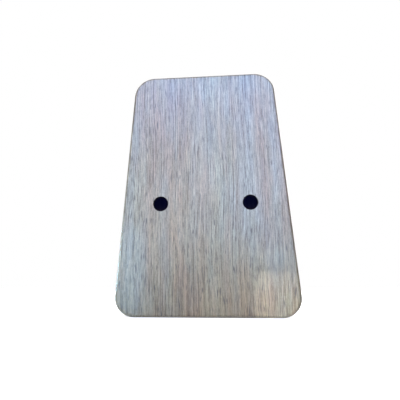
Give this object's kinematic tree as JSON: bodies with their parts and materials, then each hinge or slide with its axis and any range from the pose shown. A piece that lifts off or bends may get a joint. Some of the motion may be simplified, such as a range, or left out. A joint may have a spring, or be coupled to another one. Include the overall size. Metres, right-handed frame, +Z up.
{
  "type": "kalimba",
  "caption": "Hollow-body thumb piano: tapered wooden box with rounded corners, sound hole, rear vibrato holes and a row of steel tines clamped over a grooved bridge.",
  "frame": {"origin": "middle of the flat face at the wide end, on which the instrument stands", "axes": "+Z up the body from the wide end to the narrow end, +Y from the back to the tines, +X to the player's left"},
  "size_m": [0.1328, 0.0489, 0.185],
  "materials": {
    "plate_wood": "satin lacquer",
    "rim_wood": "satin lacquer",
    "brace_wood": "bare",
    "bridge_wood": "oiled",
    "rod_steel": "nickel plated",
    "screw_steel": "zinc plated",
    "tine_steel": "brushed spring steel"
  },
  "bodies": {
    "case": {"back_plate": "plate_wood", "soundboard": "plate_wood", "left_side": "rim_wood", "right_side": "rim_wood", "head_block": "rim_wood", "tail_block": "rim_wood", "bridge_brace": "brace_wood", "bridge_block": "bridge_wood", "front_saddle_rod": "rod_steel", "rear_saddle_rod": "rod_steel", "pressure_bar": "rod_steel", "clamp_screws": "screw_steel"},
    "tine_c4_shank": {"tine_c4_shank": "tine_steel"},
    "tine_c4_blade": {"tine_c4_blade": "tine_steel"},
    "tine_d4_shank": {"tine_d4_shank": "tine_steel"},
    "tine_d4_blade": {"tine_d4_blade": "tine_steel"},
    "tine_e4_shank": {"tine_e4_shank": "tine_steel"},
    "tine_e4_blade": {"tine_e4_blade": "tine_steel"},
    "tine_f4_shank": {"tine_f4_shank": "tine_steel"},
    "tine_f4_blade": {"tine_f4_blade": "tine_steel"},
    "tine_g4_shank": {"tine_g4_shank": "tine_steel"},
    "tine_g4_blade": {"tine_g4_blade": "tine_steel"},
    "tine_a4_shank": {"tine_a4_shank": "tine_steel"},
    "tine_a4_blade": {"tine_a4_blade": "tine_steel"},
    "tine_b4_shank": {"tine_b4_shank": "tine_steel"},
    "tine_b4_blade": {"tine_b4_blade": "tine_steel"},
    "tine_c5_shank": {"tine_c5_shank": "tine_steel"},
    "tine_c5_blade": {"tine_c5_blade": "tine_steel"},
    "tine_d5_shank": {"tine_d5_shank": "tine_steel"},
    "tine_d5_blade": {"tine_d5_blade": "tine_steel"},
    "tine_e5_shank": {"tine_e5_shank": "tine_steel"},
    "tine_e5_blade": {"tine_e5_blade": "tine_steel"},
    "tine_f5_shank": {"tine_f5_shank": "tine_steel"},
    "tine_f5_blade": {"tine_f5_blade": "tine_steel"},
    "tine_g5_shank": {"tine_g5_shank": "tine_steel"},
    "tine_g5_blade": {"tine_g5_blade": "tine_steel"},
    "tine_a5_shank": {"tine_a5_shank": "tine_steel"},
    "tine_a5_blade": {"tine_a5_blade": "tine_steel"},
    "tine_b5_shank": {"tine_b5_shank": "tine_steel"},
    "tine_b5_blade": {"tine_b5_blade": "tine_steel"},
    "tine_c6_shank": {"tine_c6_shank": "tine_steel"},
    "tine_c6_blade": {"tine_c6_blade": "tine_steel"},
    "tine_d6_shank": {"tine_d6_shank": "tine_steel"},
    "tine_d6_blade": {"tine_d6_blade": "tine_steel"},
    "tine_e6_shank": {"tine_e6_shank": "tine_steel"},
    "tine_e6_blade": {"tine_e6_blade": "tine_steel"}
  },
  "joints": [
    {"name": "tune_c4", "type": "slide", "parent": "case", "child": "tine_c4_shank", "axis": [0, 0.061, -0.9981], "range_m": [-0.002, 0.002]},
    {"name": "pluck_c4", "type": "hinge", "parent": "tine_c4_shank", "child": "tine_c4_blade", "pos_m": [0, 0.02721, 0.13201], "axis": [-1, 0, 0], "range_deg": [-4.4, 4.4], "stiffness_Nm_per_rad": 3.501},
    {"name": "tune_d4", "type": "slide", "parent": "case", "child": "tine_d4_shank", "axis": [0, 0.061, -0.9981], "range_m": [-0.002, 0.002]},
    {"name": "pluck_d4", "type": "hinge", "parent": "tine_d4_shank", "child": "tine_d4_blade", "pos_m": [0.0061, 0.02717, 0.13252], "axis": [-1, 0, 0], "range_deg": [-3.9, 3.9], "stiffness_Nm_per_rad": 3.709},
    {"name": "tune_e4", "type": "slide", "parent": "case", "child": "tine_e4_shank", "axis": [0, 0.061, -0.9981], "range_m": [-0.002, 0.002]},
    {"name": "pluck_e4", "type": "hinge", "parent": "tine_e4_shank", "child": "tine_e4_blade", "pos_m": [-0.0061, 0.02714, 0.13301], "axis": [-1, 0, 0], "range_deg": [-3.5, 3.5], "stiffness_Nm_per_rad": 3.93},
    {"name": "tune_f4", "type": "slide", "parent": "case", "child": "tine_f4_shank", "axis": [0, 0.061, -0.9981], "range_m": [-0.002, 0.002]},
    {"name": "pluck_f4", "type": "hinge", "parent": "tine_f4_shank", "child": "tine_f4_blade", "pos_m": [0.0122, 0.02713, 0.13324], "axis": [-1, 0, 0], "range_deg": [-3.3, 3.3], "stiffness_Nm_per_rad": 4.045},
    {"name": "tune_g4", "type": "slide", "parent": "case", "child": "tine_g4_shank", "axis": [0, 0.061, -0.9981], "range_m": [-0.002, 0.002]},
    {"name": "pluck_g4", "type": "hinge", "parent": "tine_g4_shank", "child": "tine_g4_blade", "pos_m": [-0.0122, 0.0271, 0.13368], "axis": [-1, 0, 0], "range_deg": [-3, 3], "stiffness_Nm_per_rad": 4.285},
    {"name": "tune_a4", "type": "slide", "parent": "case", "child": "tine_a4_shank", "axis": [0, 0.061, -0.9981], "range_m": [-0.002, 0.002]},
    {"name": "pluck_a4", "type": "hinge", "parent": "tine_a4_shank", "child": "tine_a4_blade", "pos_m": [0.0183, 0.02708, 0.1341], "axis": [-1, 0, 0], "range_deg": [-2.6, 2.6], "stiffness_Nm_per_rad": 4.54},
    {"name": "tune_b4", "type": "slide", "parent": "case", "child": "tine_b4_shank", "axis": [0, 0.061, -0.9981], "range_m": [-0.002, 0.002]},
    {"name": "pluck_b4", "type": "hinge", "parent": "tine_b4_shank", "child": "tine_b4_blade", "pos_m": [-0.0183, 0.02705, 0.1345], "axis": [-1, 0, 0], "range_deg": [-2.3, 2.3], "stiffness_Nm_per_rad": 4.81},
    {"name": "tune_c5", "type": "slide", "parent": "case", "child": "tine_c5_shank", "axis": [0, 0.061, -0.9981], "range_m": [-0.002, 0.002]},
    {"name": "pluck_c5", "type": "hinge", "parent": "tine_c5_shank", "child": "tine_c5_blade", "pos_m": [0.0244, 0.02704, 0.13469], "axis": [-1, 0, 0], "range_deg": [-2.2, 2.2], "stiffness_Nm_per_rad": 4.951},
    {"name": "tune_d5", "type": "slide", "parent": "case", "child": "tine_d5_shank", "axis": [0, 0.061, -0.9981], "range_m": [-0.002, 0.002]},
    {"name": "pluck_d5", "type": "hinge", "parent": "tine_d5_shank", "child": "tine_d5_blade", "pos_m": [-0.0244, 0.02702, 0.13505], "axis": [-1, 0, 0], "range_deg": [-2, 2], "stiffness_Nm_per_rad": 5.245},
    {"name": "tune_e5", "type": "slide", "parent": "case", "child": "tine_e5_shank", "axis": [0, 0.061, -0.9981], "range_m": [-0.002, 0.002]},
    {"name": "pluck_e5", "type": "hinge", "parent": "tine_e5_shank", "child": "tine_e5_blade", "pos_m": [0.0305, 0.027, 0.13539], "axis": [-1, 0, 0], "range_deg": [-1.8, 1.8], "stiffness_Nm_per_rad": 5.557},
    {"name": "tune_f5", "type": "slide", "parent": "case", "child": "tine_f5_shank", "axis": [0, 0.061, -0.9981], "range_m": [-0.002, 0.002]},
    {"name": "pluck_f5", "type": "hinge", "parent": "tine_f5_shank", "child": "tine_f5_blade", "pos_m": [-0.0305, 0.02699, 0.13556], "axis": [-1, 0, 0], "range_deg": [-1.7, 1.7], "stiffness_Nm_per_rad": 5.72},
    {"name": "tune_g5", "type": "slide", "parent": "case", "child": "tine_g5_shank", "axis": [0, 0.061, -0.9981], "range_m": [-0.002, 0.002]},
    {"name": "pluck_g5", "type": "hinge", "parent": "tine_g5_shank", "child": "tine_g5_blade", "pos_m": [0.0366, 0.02697, 0.13587], "axis": [-1, 0, 0], "range_deg": [-1.5, 1.5], "stiffness_Nm_per_rad": 6.06},
    {"name": "tune_a5", "type": "slide", "parent": "case", "child": "tine_a5_shank", "axis": [0, 0.061, -0.9981], "range_m": [-0.002, 0.002]},
    {"name": "pluck_a5", "type": "hinge", "parent": "tine_a5_shank", "child": "tine_a5_blade", "pos_m": [-0.0366, 0.02695, 0.13617], "axis": [-1, 0, 0], "range_deg": [-1.3, 1.3], "stiffness_Nm_per_rad": 6.421},
    {"name": "tune_b5", "type": "slide", "parent": "case", "child": "tine_b5_shank", "axis": [0, 0.061, -0.9981], "range_m": [-0.002, 0.002]},
    {"name": "pluck_b5", "type": "hinge", "parent": "tine_b5_shank", "child": "tine_b5_blade", "pos_m": [0.0427, 0.02693, 0.13645], "axis": [-1, 0, 0], "range_deg": [-1.2, 1.2], "stiffness_Nm_per_rad": 6.802},
    {"name": "tune_c6", "type": "slide", "parent": "case", "child": "tine_c6_shank", "axis": [0, 0.061, -0.9981], "range_m": [-0.002, 0.002]},
    {"name": "pluck_c6", "type": "hinge", "parent": "tine_c6_shank", "child": "tine_c6_blade", "pos_m": [-0.0427, 0.02693, 0.13658], "axis": [-1, 0, 0], "range_deg": [-1.1, 1.1], "stiffness_Nm_per_rad": 7.002},
    {"name": "tune_d6", "type": "slide", "parent": "case", "child": "tine_d6_shank", "axis": [0, 0.061, -0.9981], "range_m": [-0.002, 0.002]},
    {"name": "pluck_d6", "type": "hinge", "parent": "tine_d6_shank", "child": "tine_d6_blade", "pos_m": [0.0488, 0.02691, 0.13684], "axis": [-1, 0, 0], "range_deg": [-1, 1], "stiffness_Nm_per_rad": 7.418},
    {"name": "tune_e6", "type": "slide", "parent": "case", "child": "tine_e6_shank", "axis": [0, 0.061, -0.9981], "range_m": [-0.002, 0.002]},
    {"name": "pluck_e6", "type": "hinge", "parent": "tine_e6_shank", "child": "tine_e6_blade", "pos_m": [-0.0488, 0.02689, 0.13708], "axis": [-1, 0, 0], "range_deg": [-0.9, 0.9], "stiffness_Nm_per_rad": 7.859}
  ]
}
